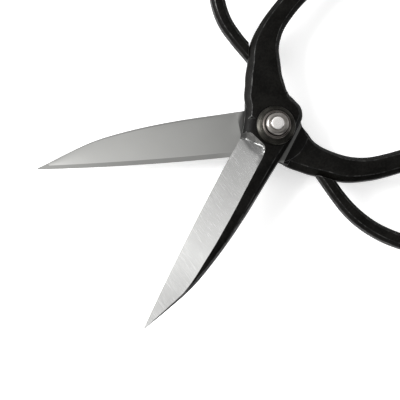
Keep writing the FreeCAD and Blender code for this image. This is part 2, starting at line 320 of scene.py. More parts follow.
@dataclass(frozen=True)
class PaleFloor:
    """A plain white surface."""

    name: str = "white_sheet"
    colour: Colour = (0.92, 0.92, 0.92)

    def material(self) -> Material:
        """Build the finish as a material."""
        graph = NodeGraph(self.name)
        fibre = graph.grain(graph.place, 900.0, 2.0)
        low = tuple(0.98 * value for value in self.colour)
        graph.put("Base Color", graph.ramp(fibre, [(0.3, low), (0.7, self.colour)]))
        graph.put("Roughness", 0.9)
        graph.put("Specular IOR Level", 0.1)
        graph.put("Emission Color", (1.0, 1.0, 1.0, 1.0))
        graph.put("Emission Strength", 0.45)
        return graph.material


# --- mesh helpers, in millimetres ---------------------------------------------------------------------
def smooth_rows(rows: list[Vector], per_span: int) -> list[Vector]:
    """Rows of numbers along a smooth line through the given rows.

    Args:
        rows: the rows, whose first two numbers are X and Y.
        per_span: how many steps one span is divided into.

    Returns:
        The finer rows, the given ones among them.
    """
    gaps = [max((b.to_2d() - a.to_2d()).length, 1e-6) for a, b in zip(rows, rows[1:])]
    slopes = [(b - a) / gap for a, b, gap in zip(rows, rows[1:], gaps)]
    tangents = [slopes[0]]
    for before, after, s0, s1 in zip(gaps, gaps[1:], slopes, slopes[1:]):
        tangents.append((s0 * after + s1 * before) / (before + after))
    tangents.append(slopes[-1])
    fine = []
    for i, gap in enumerate(gaps):
        for step in range(per_span):
            t = step / per_span
            fine.append(rows[i] * (2 * t ** 3 - 3 * t ** 2 + 1)
                        + tangents[i] * (gap * (t ** 3 - 2 * t ** 2 + t))
                        + rows[i + 1] * (3 * t ** 2 - 2 * t ** 3)
                        + tangents[i + 1] * (gap * (t ** 3 - t ** 2)))
    fine.append(rows[-1].copy())
    return fine


def mix(start: float, end: float, share: float) -> float:
    """The number that lies a share of the way from one to another."""
    return start + (end - start) * share


def new_object(name: str, bm: BMesh) -> Object:
    """Turn a bmesh into an object of the scene, and free the bmesh."""
    mesh = bpy.data.meshes.new(name)
    bm.to_mesh(mesh)
    bm.free()
    thing = bpy.data.objects.new(name, mesh)
    bpy.context.scene.collection.objects.link(thing)
    return thing


def working_object(name: str, bm: BMesh, surface: Surface = Surface.FORGED) -> Object:
    """Turn a bmesh into an object with a slot for each surface of a forged half.

    Args:
        name: the object's name.
        bm: the bmesh, which is freed.
        surface: the slot of all its faces.

    Returns:
        The object, linked to the scene.
    """
    bmesh.ops.recalc_face_normals(bm, faces=bm.faces)
    for face in bm.faces:
        face.material_index = surface.value
    thing = new_object(name, bm)
    for _ in Surface:
        thing.data.materials.append(None)
    return thing


def combine(base: Object, tool: Object, operation: str) -> None:
    """Join a tool to a body or cut it away, and delete the tool.

    Args:
        base: the body, whose mesh is replaced.
        tool: the other solid.
        operation: UNION or DIFFERENCE.
    """
    modifier = base.modifiers.new("combine", "BOOLEAN")
    modifier.operation = operation
    modifier.solver = "MANIFOLD"
    modifier.object = tool
    depsgraph = bpy.context.evaluated_depsgraph_get()
    mesh = bpy.data.meshes.new_from_object(base.evaluated_get(depsgraph), depsgraph=depsgraph)
    base.modifiers.clear()
    old, spent = base.data, tool.data
    base.data = mesh
    bpy.data.objects.remove(tool)
    bpy.data.meshes.remove(old)
    bpy.data.meshes.remove(spent)


def block(low: Vector, high: Vector, turn: Matrix | None = None) -> BMesh:
    """A block between two corners, then turned about the origin."""
    bm = bmesh.new()
    bmesh.ops.create_cube(bm, size=1.0)
    bmesh.ops.scale(bm, verts=bm.verts, vec=high - low)
    bmesh.ops.translate(bm, verts=bm.verts, vec=(high + low) / 2)
    if turn is not None:
        bmesh.ops.transform(bm, verts=bm.verts, matrix=turn)
    return bm


def drum(radius: float, low: float, high: float, segments: int = 96) -> BMesh:
    """A round bar about Z between two levels."""
    bm = bmesh.new()
    bmesh.ops.create_cone(bm, cap_ends=True, segments=segments, radius1=radius, radius2=radius,
                          depth=high - low)
    bmesh.ops.translate(bm, verts=bm.verts, vec=Vector((0, 0, (high + low) / 2)))
    return bm


# --- the forged halves --------------------------------------------------------------------------------
@dataclass
class Blade:
    """Plate and blade of one half in its own frame: tip at +X, cutting edge at +Y, mating face near Z 0."""

    length: float = 73.0
    spine_offset: float = 7.5
    edge_offset: float = 6.9
    edge_start: float = 8.4
    edge_bulge: float = 0.7
    edge_thickness: float = 0.16
    tip_thickness: float = 1.5
    tip_width: float = 0.45
    plate_thickness: float = 4.0
    mating_level: float = -0.025
    spare: float = 0.4
    plate_chamfer: float = 1.25
    side_chamfer: float = 1.9
    taper_start: float = 7.0
    plunge_slope: float = 1.8
    plunge_blend: float = 0.35
    plunge_reach: float = 3.0
    plunge_corner: tuple[float, float] = (5.8, 5.66)
    plunge_slants: tuple[float, float] = (0.48, 0.19)
    plunge_curl: float = 0.6
    steep_normals: tuple[float, float] = (0.02, 0.72)
    micro_bevel: float = 0.12
    micro_thickness: float = 0.05
    spine_draft: tuple[float, float] = (0.4, 1.6)
    draft_run_in: float = 8.0
    draft_limit: float = 0.8
    tip_clear: float = 4.0
    hollow_depth: float = 0.14
    hollow_inset: tuple[float, float] = (1.5, 3.0)
    edge_land: float = 1.1
    back_land: float = 0.2
    spine: tuple = ((0.068, 0.907), (0.233, 0.960), (0.397, 1.000), (0.603, 0.933), (0.753, 0.760),
                    (0.890, 0.400))
    side: tuple = ((4.0, 8.6), (1.1, 10.1), (-2.0, 11.9))
    ear: tuple = ((-9.6, 2.8), (-8.9, 0.9), (-8.7, -1.5), (-8.2, -4.0), (-6.9, -5.7))
    lug_end: tuple = (-4.4, -6.05)
    ridge: tuple = ((0.110, 0.72), (0.145, 0.68), (0.310, 0.59), (0.483, 0.46), (0.644, 0.31), (0.790, 0.12))

    @property
    def outer_level(self) -> float:
        """Level of the outer face at the pivot."""
        return self.mating_level - self.plate_thickness

    def thickness(self, x: float) -> float:
        """Thickness of the back of the blade at a distance from the pivot."""
        share = min(max((x - self.taper_start) / (self.length - self.taper_start), 0.0), 1.0)
        return mix(self.plate_thickness, self.tip_thickness, share)

    def edge_y(self, x: float) -> float:
        """Offset of the cutting edge at a distance from the pivot."""
        share = (x - self.edge_start) / (self.length - self.edge_start)
        return self.edge_offset * (1 - share) + 4 * self.edge_bulge * share * (1 - share)

    def spine_rows(self) -> list[Vector]:
        """The back of the blade in plan, from the lug to the tip."""
        rows = [Vector(self.lug_end)]
        rows += [Vector((x * self.length, -y * self.spine_offset)) for x, y in self.spine]
        rows.append(Vector((self.length, -self.tip_width)))
        return smooth_rows(rows, 8)

    def spine_y(self, x: float) -> float:
        """Offset of the spine at a distance from the pivot."""
        rows = self.spine_rows()
        for a, b in zip(rows, rows[1:]):
            if a.x <= x <= b.x:
                return a.y + (b.y - a.y) * (x - a.x) / (b.x - a.x)
        return rows[-1].y

    def bevel_slope(self, x: float) -> float:
        """Depth that the ground bevel loses per width at a distance from the pivot."""
        share = min(max(x / self.length, self.ridge[0][0]), self.ridge[-1][0])
        for (x0, w0), (x1, w1) in zip(self.ridge, self.ridge[1:]):
            if x0 <= share <= x1:
                width = (w0 + (w1 - w0) * (share - x0) / (x1 - x0)) * self.spine_offset
        at = share * self.length
        return (self.thickness(at) - self.edge_thickness) / (self.edge_y(at) - self.spine_y(at) - width)

    def outline(self) -> list[Vector]:
        """Plan of plate and blade, from the tip along the cutting edge and back along the spine."""
        steps = 30
        span = self.length - self.edge_start
        rows = [Vector((self.length - span * i / steps, self.edge_y(self.length - span * i / steps)))
                for i in range(steps + 1)]
        rows += smooth_rows([rows[-1]] + [Vector(pair) for pair in self.side], 3)[1:]
        rows += smooth_rows([Vector(pair) for pair in self.ear + (self.lug_end,)], 4)[:-1]
        return rows + self.spine_rows()

    def slab(self) -> Object:
        """Plate and blade before grinding, thicker than they end up, with the back drawn in below.

        Returns:
            The solid.
        """
        level = self.outer_level - self.spare
        bm = bmesh.new()
        foot = bm.faces.new([bm.verts.new((p.x, p.y, level)) for p in self.outline()])
        grown = bmesh.ops.extrude_face_region(bm, geom=[foot])["geom"]
        top = {item for item in grown if isinstance(item, BMVert)}
        bmesh.ops.translate(bm, verts=list(top), vec=Vector((0, 0, self.mating_level + self.spare - level)))
        bmesh.ops.recalc_face_normals(bm, faces=bm.faces)
        for vert in bm.verts:
            if vert not in top and vert.co.x > 0 and vert.co.y < self.spine_y(vert.co.x) / 2:
                share = vert.co.x / self.length
                room = self.draft_limit * (self.edge_y(vert.co.x) - vert.co.y)
                drawn = self.spine_draft[0] + self.spine_draft[1] * share
                drawn *= min(share * self.draft_run_in, 1)
                vert.co.y += min(drawn, room)
        chamfers = ((self.side_chamfer, self.beside_neck), (self.plate_chamfer, self.behind_pivot))
        for chamfer, region in chamfers:
            rim = [e for e in bm.edges if all(abs(v.co.z - level) < 1e-6 for v in e.verts) and region(e)]
            bmesh.ops.bevel(bm, geom=rim, offset=chamfer + self.spare, offset_type="OFFSET", segments=1,
                            profile=0.5, affect="EDGES", material=-1, clamp_overlap=False)
        return working_object("slab", bm)

    def beside_neck(self, edge: BMEdge) -> bool:
        """Whether an outline edge lies between the cutting edge and the neck."""
        middle = (edge.verts[0].co + edge.verts[1].co) / 2
        return middle.y > self.edge_offset and middle.x < self.edge_start

    def behind_pivot(self, edge: BMEdge) -> bool:
        """Whether an outline edge lies on the ear or the spine."""
        middle = (edge.verts[0].co + edge.verts[1].co) / 2
        on_cutting_edge = middle.x > self.edge_start and middle.y > self.spine_y(middle.x) / 2
        return not on_cutting_edge and middle.x < self.length - self.tip_clear and middle.y < self.edge_offset

    def ground_sheet(self, xs: list[float], shares: list[float], surface: Surface, away: float,
                     place: Callable[[float, float], tuple[float, float]]) -> Object:
        """A solid between a curved sheet and a far level, to grind with.

        Args:
            xs: the sheet's rows, as distances from the pivot.
            shares: places of the sheet's points along each row.
            surface: the slot of the ground face.
            away: the far level.
            place: Y and level of the point at a distance from the pivot and a place in the row.

        Returns:
            The solid.
        """
        bm = bmesh.new()
        bmesh.ops.create_grid(bm, x_segments=len(xs) - 1, y_segments=len(shares) - 1, size=0.5)
        grown = bmesh.ops.extrude_face_region(bm, geom=bm.faces[:])["geom"]
        far = {item for item in grown if isinstance(item, BMVert)}
        for vert in bm.verts:
            x = xs[round((vert.co.x + 0.5) * (len(xs) - 1))]
            share = shares[round((vert.co.y + 0.5) * (len(shares) - 1))]
            y, level = place(x, share)
            vert.co = Vector((x, y, away if vert in far else level))
        return working_object("ground_sheet", bm, surface)

    def bevel_tool(self) -> Object:
        """The metal that grinding the bevel takes off."""
        plunge_xs = [4.0 + 0.3 * i for i in range(31)]
        blade_xs = [13.5 + 0.75 * i for i in range(85)]
        m = self.micro_bevel
        offsets = [-2.0, -0.5, 0.0, 0.9 * m, m, 1.1 * m, 1.0, 1.5]
        offsets += [2.0 + 0.4 * i for i in range(24)] + [12.5, 14.0, 17.0]

        def place(x: float, offset: float) -> tuple[float, float]:
            """Y and level of the bevel at a distance from the pivot and an offset from the edge."""
            y = self.edge_y(x) - offset
            return y, self.bevel_level(x, y)

        tool = self.ground_sheet(plunge_xs + blade_xs, offsets, Surface.BEVEL, -FAR_LEVEL, place)
        for face in tool.data.polygons:
            steep = self.steep_normals[0] < abs(face.normal.z) < self.steep_normals[1]
            if steep and face.center.x < self.edge_start + self.plunge_reach:
                face.material_index = Surface.SCORCHED.value
        return tool

    def plunge_start(self, y: float) -> float:
        """Distance from the pivot at which the wheel first touches the outer face, for an offset."""
        x, corner = self.plunge_corner
        outward, inward = self.plunge_slants
        slanted = x + (outward * (y - corner) if y > corner else inward * (corner - y))
        return slanted + self.plunge_curl * max(0.0, -y) ** 2

    def bevel_level(self, x: float, y: float) -> float:
        """Level of the ground bevel, with its plunge at the pivot end and a fine second bevel at the edge."""
        offset = self.edge_y(x) - y
        slope = self.bevel_slope(x)
        full = self.mating_level - self.edge_thickness - slope * offset
        if offset < self.micro_bevel:
            deep = self.edge_thickness + slope * self.micro_bevel
            full = (self.mating_level - self.micro_thickness
                    - (deep - self.micro_thickness) * offset / self.micro_bevel)
        ramp = self.outer_level + self.plunge_slope * (x - self.plunge_start(y))
        near = max(self.plunge_blend - abs(full - ramp), 0.0)
        return max(min(full, ramp) - near * near / (4 * self.plunge_blend), 3 * self.outer_level)

    def hollow_tool(self) -> Object:
        """The metal that hollows the mating face between the cutting edge's land and the spine."""
        start, end = self.edge_start + self.hollow_inset[0], self.length - self.hollow_inset[1]
        beyond, above = 0.6, 0.06
        shallowest, first_run, last_run = 0.15, 0.10, 0.06
        xs = [start - beyond] + [start + (end - start) * i / 80 for i in range(81)] + [end + beyond]
        shares = [-0.06] + [i / 20 for i in range(21)] + [1.06]

        def place(x: float, share: float) -> tuple[float, float]:
            """Y and level of the hollow at a distance from the pivot and a share of its width."""
            near, back = self.edge_y(x) - self.edge_land, self.spine_y(x) + self.back_land
            along = (x - start) / (end - start)
            y = near + (back - near) * share
            if not (0 < share < 1 and 0 < along < 1):
                return y, self.mating_level + above
            run_in = min(shallowest + along / first_run, shallowest + (1 - along) / last_run, 1.0)
            return y, self.mating_level - self.hollow_depth * (1 - (2 * share - 1) ** 2) * run_in

        return self.ground_sheet(xs, shares, Surface.MATING, FAR_LEVEL, place)


@dataclass
class Handle:
    """Neck, bar and finger loop of one half, forged from one bar."""

    length: float = 104.6
    loop_offset: float = 48.4
    heel_gap: float = 0.3
    tail_gap: float = 0.4
    root_width: float = 12.6
    bar_width: float = 6.8
    heel_width: float = 6.0
    rear_width: float = 5.4
    tail_width: float = 4.1
    bar_height: float = 5.6
    tail_height: float = 4.6
    bar_chamfer: float = 1.35
    neck_chamfers: tuple[float, float] = (1.95, 1.0)
    tail_chamfer: float = 0.95
    plate_thickness: float = 4.0
    spare: float = 0.4
    tail_seat: int = 4
    heel: float = -0.765
    neck: tuple = ((-3.5, 4.0, 0.00, 0.00, 0.50), (-5.9, 7.7, 0.06, 0.02, 0.70),
                   (-8.35, 10.1, 0.38, 0.10, 1.00), (-10.8, 11.95, 0.55, 0.24, 1.00),
                   (-13.5, 13.5, 0.69, 0.42, 0.95), (-19.0, 16.3, 0.79, 0.76, 0.55),
                   (-26.0, 17.6, 0.95, 0.96, 0.20), (-33.0, 17.4, 1.00, 1.00, 0.00))
    neck_inward: tuple = (-0.62, -0.78)
    neck_growth: float = 0.0
    run_in: tuple = ((-0.430, 0.318), (-0.530, 0.235), (-0.640, 0.140))
    rear: tuple = ((-0.880, 0.118), (-0.965, 0.270), (-1.000, 0.490), (-0.972, 0.720), (-0.885, 0.890))
    outside: tuple = ((-0.770, 0.972), (-0.650, 1.000), (-0.530, 0.990), (-0.420, 0.945))
    tail: tuple = ((-31.5, 41.2, 0.0), (-23.6, 35.7, 0.15), (-18.3, 29.6, 0.45), (-15.2, 24.0, 0.80))
    tail_way: tuple = (-0.883, 0.469)
    tail_shift: float = 0.0
    unevenness: float = 0.05
    unevenness_length: float = 9.0
    chamfer_height: float = 1.6
    per_span: int = 7

    def stations(self) -> list[Vector]:
        """Rows of X, Y, width, lowest and highest level, and chamfer of each side, round the handle."""
        half = self.bar_height / 2
        low, high = -self.plate_thickness - self.spare / 2, self.spare / 4
        rows = []
        for x, y, narrowed, lifted, grown in self.neck:
            extra = self.neck_growth * grown
            width = mix(self.root_width, self.bar_width, narrowed) + extra
            wide = mix(self.neck_chamfers[0], self.bar_chamfer, lifted ** 2)
            slim = mix(self.neck_chamfers[1], self.bar_chamfer, lifted ** 2)
            rows.append(Vector((x + self.neck_inward[0] * extra / 2, y + self.neck_inward[1] * extra / 2,
                                width, mix(low, -half, lifted), mix(high, half, lifted), wide, slim)))
        for step, (x, y) in enumerate(self.run_in, 1):
            width = self.bar_width + (self.heel_width - self.bar_width) * step / (len(self.run_in) + 1)
            rows.append(self.full_height(x * self.length, y * self.loop_offset, width))
        rows.append(self.full_height(self.heel * self.length, (self.heel_width + self.heel_gap) / 2,
                                     self.heel_width))
        for step, (x, y) in enumerate(self.rear, 1):
            width = self.heel_width + (self.rear_width - self.heel_width) * step / len(self.rear)
            rows.append(self.full_height(x * self.length, y * self.loop_offset, width))
        drawn = [(x * self.length, y * self.loop_offset) for x, y in self.outside]
        drawn += [(x + self.tail_way[0] * self.tail_shift * share,
                   y + self.tail_way[1] * self.tail_shift * share) for x, y, share in self.tail]
        for step, (x, y) in enumerate(drawn, 1):
            share = step / len(drawn)
            width = mix(self.rear_width, self.tail_width, share)
            height = mix(half, self.tail_height / 2, share)
            chamfer = mix(self.bar_chamfer, self.tail_chamfer, share)
            rows.append(Vector((x, y, width, -height, height, chamfer, chamfer)))
        rows.append(self.tail_end(rows))
        return rows

    def full_height(self, x: float, y: float, width: float) -> Vector:
        """A row where the bar has its full height and equal chamfers."""
        half = self.bar_height / 2
        return Vector((x, y, width, -half, half, self.bar_chamfer, self.bar_chamfer))

    def tail_end(self, rows: list[Vector]) -> Vector:
        """The last row, a gap away from the side of the bar."""
        before, seat, after = rows[self.tail_seat - 1], rows[self.tail_seat], rows[self.tail_seat + 1]
        along = (after - before).to_2d().normalized()
        outward = Vector((along.y, -along.x))
        end = (before + after).to_2d() / 2 + along * self.tail_shift + outward * (seat[2] / 2 + self.tail_gap)
        half = self.tail_height / 2
        return Vector((end.x, end.y, self.tail_width, -half, half, self.tail_chamfer, self.tail_chamfer))

    def solid(self, seed: float) -> Object:
        """The whole bar as one solid.

        Args:
            seed: shifts the forging's small unevenness, so that no two halves are quite alike.

        Returns:
            The solid.
        """
        rows = smooth_rows(self.stations(), self.per_span)
        bm = bmesh.new()
        rings = []
        for i, row in enumerate(rows):
            ahead, behind = rows[min(i + 1, len(rows) - 1)], rows[max(i - 1, 0)]
            along = (ahead - behind).to_2d().normalized()
            slant = max(1 - (len(rows) - 1 - i) / self.per_span, 0.0)
            across = Vector((along.y, -along.x)).lerp(self.end_cut(along), slant)
            rings.append(self.section(bm, row, across, seed))
        for ring, following in zip(rings, rings[1:]):
            bmesh.ops.bridge_loops(bm, edges=ring + following)
        for ring in (rings[0], rings[-1]):
            bmesh.ops.edgeloop_fill(bm, edges=ring)
        return working_object("bar", bm)

    def end_cut(self, along: Vector) -> Vector:
        """The way across the tail at its end, which is cut along the side of the bar."""
        stations = self.stations()
        bar_way = (stations[self.tail_seat + 1] - stations[self.tail_seat - 1]).to_2d().normalized()
        return bar_way / abs(bar_way.cross(along))

    def section(self, bm: BMesh, row: Vector, across: Vector, seed: float) -> list[BMEdge]:
        """Add one eight-sided section across the bar.

        Args:
            bm: the bmesh.
            row: the section's row of the route.
            across: direction of the bar's width, in plan, longer than 1 where the section is slanted.
            seed: shifts the unevenness.

        Returns:
            The section's edges.
        """
        x, y, width, low, high, wide, slim = row
        u, v = x / self.unevenness_length, y / self.unevenness_length
        uneven = [self.unevenness * noise.noise(Vector((u, v, seed + k))) for k in range(3)]
        half_width = width / 2 + uneven[0]
        middle, half_height = (low + high) / 2 + uneven[1], (high - low) / 2 + uneven[2]
        ring = bmesh.ops.create_circle(bm, segments=8, radius=1.0,
                                       matrix=Matrix.Rotation(math.pi / 8, 4, "Z"))["verts"]
        for vert in ring:
            u, v = vert.co.x, vert.co.y
            chamfer = wide if u > 0 else slim
            if abs(u) > abs(v):
                rise = half_height - min(chamfer, self.chamfer_height)
                out, up = math.copysign(half_width, u), math.copysign(rise, v)
            else:
                out, up = math.copysign(half_width - chamfer, u), math.copysign(half_height, v)
            vert.co = Vector((x + across.x * out, y + across.y * out, middle + up))
        return list({edge for vert in ring for edge in vert.link_edges})


@dataclass
class ForgedHalf:
    """One finished half of the shears."""

    layer: Layer
    blade: Blade = field(default_factory=Blade)
    handle: Handle = field(default_factory=Handle)
    shoulder_offset: float = 7.45
    widest_angle: float = 52.0
    land_radius: float = 10.9
    scale_on_land: float = 0.02
    rubbed_depth: float = 0.01
    rubbed_radius: float = 10.4
    rubbed_from: float = 3.0
    plunge_end: float = 13.0
    worn_from: float = -48.0
    bore_radius: float = 2.0
    corner: float = 0.16
    corner_angle: float = 24.0
    keen_width: float = 0.45
    crumb: float = 0.004
    weld: float = 0.0005
    flat_angle: float = 0.4
    ground_shading: float = 5.0
    forged_shading: float = 32.0

    @property
    def node(self) -> str:
        """The CAD node that this half stands for."""
        return f"{self.layer.value}_half"

    def placing(self) -> Matrix:
        """From the half's own frame, in millimetres, to the row frame, in metres."""
        sign = 1 if self.layer is Layer.UPPER else -1
        flip = Matrix.Rotation(math.pi, 4, "X") if self.layer is Layer.UPPER else Matrix.Identity(4)
        return (Matrix.Translation(PIVOT_POINT) @ Matrix.Rotation(sign * OPEN_ANGLE / 2, 4, "Z") @ flip
                @ Matrix.Scale(MM, 4))

    def grind(self, body: Object) -> None:
        """Cut every ground face of the half and the rivet's hole."""
        blade = self.blade
        far = 150.0
        turn = Matrix.Rotation(math.radians(self.widest_angle), 4, "Z")
        below = block(Vector((-far, -far, -FAR_LEVEL)), Vector((far, far, blade.outer_level)))
        land = block(Vector((-far, -far, blade.mating_level)),
                     Vector((far, self.shoulder_offset, FAR_LEVEL)), turn)
        disc = drum(self.land_radius, blade.mating_level + self.scale_on_land, FAR_LEVEL)
        hole = drum(self.bore_radius, -FAR_LEVEL, FAR_LEVEL)
        for tool in (working_object("outer", below), self.taper(), blade.bevel_tool(),
                     working_object("land", land, Surface.EDGE_LAND), working_object("disc", disc),
                     self.rubbed_land(), blade.hollow_tool(), working_object("hole", hole)):
            combine(body, tool, "DIFFERENCE")

    def rubbed_land(self) -> Object:
        """The thin layer that the other plate has rubbed off the land round the pivot, up to the shoulder."""
        angle = math.radians(self.widest_angle)
        normal = Vector((-math.sin(angle), math.cos(angle), 0))
        bm = drum(self.rubbed_radius, self.blade.mating_level - self.rubbed_depth, FAR_LEVEL)
        for offset, outer in ((self.shoulder_offset, True), (self.rubbed_from, False)):
            cut = bmesh.ops.bisect_plane(bm, geom=bm.verts[:] + bm.edges[:] + bm.faces[:],
                                         plane_co=normal * offset, plane_no=normal,
                                         clear_outer=outer, clear_inner=not outer)
            rim = [item for item in cut["geom_cut"] if isinstance(item, BMEdge)]
            bmesh.ops.edgeloop_fill(bm, edges=rim)
        return working_object("rubbed_land", bm, Surface.EDGE_LAND)

    def taper(self) -> Object:
        """The metal below the blade's outer face, which slopes from the plate to the tip."""
        blade = self.blade
        run = blade.length - blade.taper_start
        slope = math.atan2(blade.plate_thickness - blade.tip_thickness, run)
        bm = block(Vector((0, -50, -FAR_LEVEL)), Vector((run * 1.3, 50, 0)), Matrix.Rotation(-slope, 4, "Y"))
        bmesh.ops.translate(bm, verts=bm.verts, vec=Vector((blade.taper_start, 0, blade.outer_level)))
        return working_object("taper", bm)

    def soften(self, bm: BMesh) -> None:
        """Round every corner a little, as use does, but the cutting edge."""
        bmesh.ops.triangulate(bm, faces=bm.faces, quad_method="BEAUTY", ngon_method="BEAUTY")
        bmesh.ops.remove_doubles(bm, verts=bm.verts, dist=self.crumb)
        bmesh.ops.dissolve_degenerate(bm, dist=self.crumb, edges=bm.edges)
        bmesh.ops.dissolve_limit(bm, angle_limit=math.radians(self.flat_angle), verts=bm.verts,
                                 edges=bm.edges, delimit={"MATERIAL"})
        corners = []
        for edge in bm.edges:
            surfaces = {face.material_index for face in edge.link_faces}
            if len(edge.link_faces) != 2 or surfaces != {Surface.FORGED.value}:
                continue
            middle = (edge.verts[0].co + edge.verts[1].co) / 2
            near_edge = abs(middle.y - self.blade.edge_y(middle.x)) < self.keen_width
            keen = middle.x > self.blade.edge_start and near_edge
            sharp = edge.calc_face_angle(0.0) > math.radians(self.corner_angle)
            if not keen and middle.x > self.worn_from and sharp:
                corners.append(edge)
        bmesh.ops.bevel(bm, geom=corners, offset=self.corner, offset_type="OFFSET", segments=2, profile=0.5,
                        affect="EDGES", material=Surface.WORN.value, clamp_overlap=False)
        bmesh.ops.triangulate(bm, faces=bm.faces)
        bmesh.ops.remove_doubles(bm, verts=bm.verts, dist=self.weld)
        folded = [face for face in bm.faces if all(len(edge.link_faces) > 2 for edge in face.edges)]
        bmesh.ops.delete(bm, geom=folded, context="FACES_ONLY")
        self.shade(bm)

    def shade(self, bm: BMesh) -> None:
        """Shade the bar smooth, and keep the ground faces apart from what adjoins them."""
        ground_slots = {Surface.BEVEL.value, Surface.MATING.value}
        for edge in bm.edges:
            ground = any(face.material_index in ground_slots for face in edge.link_faces)
            beyond_plunge = min(vert.co.x for vert in edge.verts) > self.plunge_end
            limit = self.ground_shading if ground and beyond_plunge else self.forged_shading
            edge.smooth = edge.calc_face_angle(0.0) < math.radians(limit)

    def build(self, finishes: dict[Surface, Material]) -> Object:
        """Make the half, dress it and put it in its CAD node's place.

        Args:
            finishes: the material of each surface.

        Returns:
            The finished piece.
        """
        seed = 3.0 if self.layer is Layer.UPPER else 11.0
        body = self.handle.solid(seed)
        combine(body, self.blade.slab(), "UNION")
        self.grind(body)
        bm = bmesh.new()
        bm.from_mesh(body.data)
        self.soften(bm)
        bm.to_mesh(body.data)
        bm.free()
        body.data.transform(self.placing())
        body.name = body.data.name = f"{self.layer.value}_forging"
        for surface in Surface:
            body.data.materials[surface.value] = finishes[surface]
        body.data.polygons.foreach_set("use_smooth", [True] * len(body.data.polygons))
        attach(body, f"{self.layer.value}_shear")
        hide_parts(self.node)
        LOG.info("%s: %d faces", body.name, len(body.data.polygons))
        return body


# --- the pivot ----------------------------------------------------------------------------------------
class Turning(Enum):
    """The turned pieces of the pivot stack, from the plate outwards."""

    BASE = "base_washer"
    STEP = "step_washer"
    DOME = "dome_washer"


@dataclass
class PivotStack:
    """The washers of both sides and the rivet, turned about the pivot's axis."""

    bore_radius: float = 2.0
    steps: int = 128
    corner: float = 0.16
    sharp_angle: float = 38.0

    def profile(self, turning: Turning, radius: float, depth: float) -> list[tuple[float, float]]:
        """Outline of a washer as radius and height above its seat.

        Args:
            turning: which washer.
            radius: its outer radius.
            depth: its thickness.

        Returns:
            The outline, starting at the bore.
        """
        bore, c = self.bore_radius, self.corner
        if turning is Turning.BASE:
            drops = ((0, 0.95), (0.05, 0.72), (0.22, 0.52), (0.50, 0.38), (0.58, 0.42), (0.68, 0.34),
                     (1.05, 0.18), (1.13, 0.24), (1.24, 0.14), (1.55, 0.05), (1.65, 0))
            brow = [(radius - inward, depth - down) for inward, down in drops]
            return [(bore, 0), (radius - c, 0), (radius, c)] + brow + [(bore, depth)]
        if turning is Turning.STEP:
            drops = ((0, 0.42), (0.06, 0.26), (0.20, 0.12), (0.42, 0.02), (0.60, 0), (0.80, 0.30))
            brow = [(radius - inward, depth - down) for inward, down in drops]
            return ([(bore, 0), (radius - c, 0), (radius - 0.3 * c, 0.3 * c), (radius, c)] + brow
                    + [(bore, depth - 0.30)])
        crown = [(radius - 1.05 * (1 - math.cos(a)), depth * 0.34 + depth * 0.66 * math.sin(a))
                 for a in (math.radians(15 * k) for k in range(7))]
        return ([(bore, 0), (radius - c, 0), (radius, c)] + crown
                + [(bore + 0.22, depth), (bore + 0.06, depth - 0.10), (bore, depth - 0.2)])

    def turned(self, name: str, outline: list[tuple[float, float]], closed: bool) -> Object:
        """Spin an outline about the pivot's axis.

        Args:
            name: the piece's name.
            outline: radius and height of each corner, in millimetres.
            closed: whether the outline closes on itself, as a washer's does.

        Returns:
            The piece, standing on the origin in metres.
        """
        bm = bmesh.new()
        verts = [bm.verts.new((r * MM, 0, z * MM)) for r, z in outline]
        edges = [bm.edges.new(pair) for pair in zip(verts, verts[1:])]
        if closed:
            edges.append(bm.edges.new((verts[-1], verts[0])))
        bmesh.ops.spin(bm, geom=verts + edges, cent=Vector(), axis=Vector((0, 0, 1)), dvec=Vector(),
                       angle=2 * math.pi, steps=self.steps, use_merge=True, use_duplicate=False)
        bmesh.ops.remove_doubles(bm, verts=bm.verts, dist=1e-7)
        bmesh.ops.recalc_face_normals(bm, faces=bm.faces)
        return new_object(name, bm)

    def finish_piece(self, piece: Object, finish: Material, node: str) -> None:
        """Dress a piece, set its shading and put it in its CAD node's place on the lower half."""
        piece.data.materials.append(finish)
        piece.data.polygons.foreach_set("use_smooth", [True] * len(piece.data.polygons))
        piece.data.set_sharp_from_angle(angle=math.radians(self.sharp_angle))
        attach(piece, "lower_shear")
        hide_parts(node)
        LOG.info("%s: %d faces", piece.name, len(piece.data.polygons))

    def washer(self, side: str, turning: Turning, finish: Material) -> None:
        """Make one washer where its CAD node is.

        Args:
            side: front or back.
            turning: which washer.
            finish: its material.
        """
        node = f"{side}_{turning.value}"
        low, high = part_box(node)
        radius, depth = high.x / MM, (high.z - low.z) / MM
        outline = self.profile(turning, radius, depth)
        piece = self.turned(f"{side}_turned_{turning.name.lower()}", outline, True)
        if side == "front":
            piece.data.transform(Matrix.Translation((0, 0, low.z)))
        else:
            piece.data.transform(Matrix.Translation((0, 0, high.z)) @ Matrix.Rotation(math.pi, 4, "X"))
        self.finish_piece(piece, finish, node)

    def rivet(self, finish: Material) -> None:
        """Make the rivet, whose ends are filed flat with a small rounded corner."""
        low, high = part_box("pivot_rivet")
        radius, length = high.x / MM, (high.z - low.z) / MM
        c = self.corner
        end = [(0.0, 0.0), (radius * 0.55, 0.006), (radius - 1.7 * c, 0.02), (radius - 0.8 * c, 0.40 * c),
               (radius - 0.25 * c, 1.0 * c), (radius, 2.0 * c)]
        outline = end + [(r, length - z) for r, z in reversed(end)]
        piece = self.turned("headed_rivet", outline, False)
        piece.data.transform(Matrix.Translation((0, 0, low.z)))
        self.finish_piece(piece, finish, "pivot_rivet")

    def build(self, finishes: dict[Turning, Material], rivet_finish: Material) -> None:
        """Make the rivet and the washers of both sides."""
        for side in ("front", "back"):
            for turning in Turning:
                self.washer(side, turning, finishes[turning])
        self.rivet(rivet_finish)


